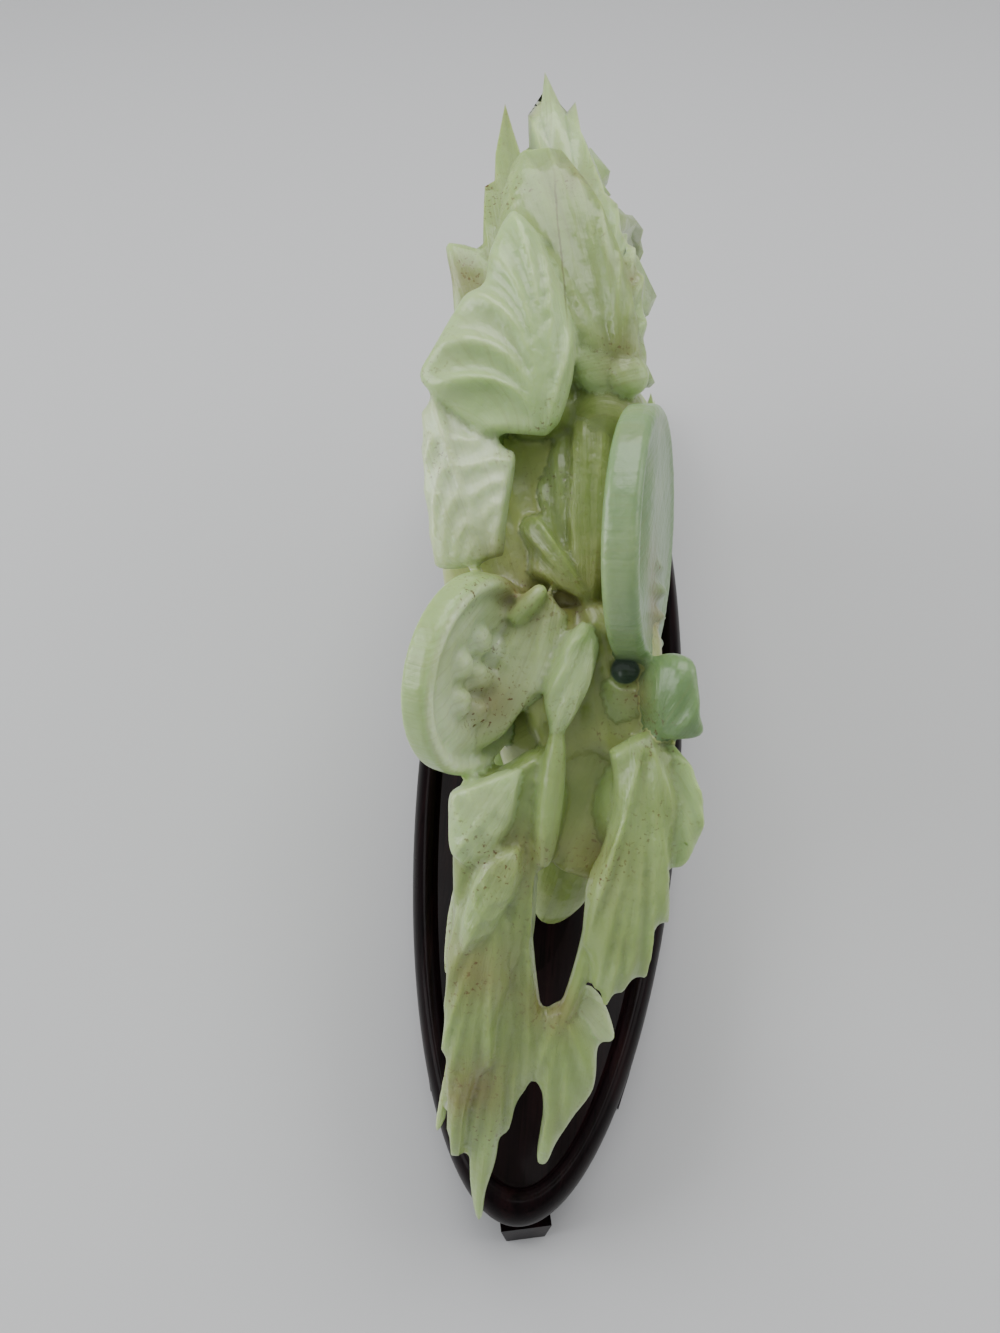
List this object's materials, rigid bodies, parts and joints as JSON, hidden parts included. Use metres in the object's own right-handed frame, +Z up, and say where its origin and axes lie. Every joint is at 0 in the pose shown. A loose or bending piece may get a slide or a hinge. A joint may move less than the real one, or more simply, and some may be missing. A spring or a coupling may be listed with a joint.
{
  "type": "jade lotus sculpture",
  "caption": "Long, narrow openwork carving of lotus leaves, flowers, seed pods and a small bird in translucent green jade, standing in the socket of a dark oval wooden stand.",
  "frame": {"origin": "on the table, under the middle of the stand", "axes": "+Z is up; +Y runs along the stand, from the end where the carving's leaves hang lowest in the picture to the other end; +X is to the right when looking along +Y"},
  "size_m": [0.0744, 0.3048, 0.1803],
  "materials": {
    "green_jade": "satin",
    "dark_hardwood": "gloss"
  },
  "bodies": {
    "root": {"jade_carving": "green_jade", "wooden_stand": "dark_hardwood", "foot_left_near": "dark_hardwood", "foot_left_far": "dark_hardwood", "foot_right_near": "dark_hardwood", "foot_right_far": "dark_hardwood", "foot_near_end": "dark_hardwood", "foot_far_end": "dark_hardwood"}
  },
  "joints": []
}
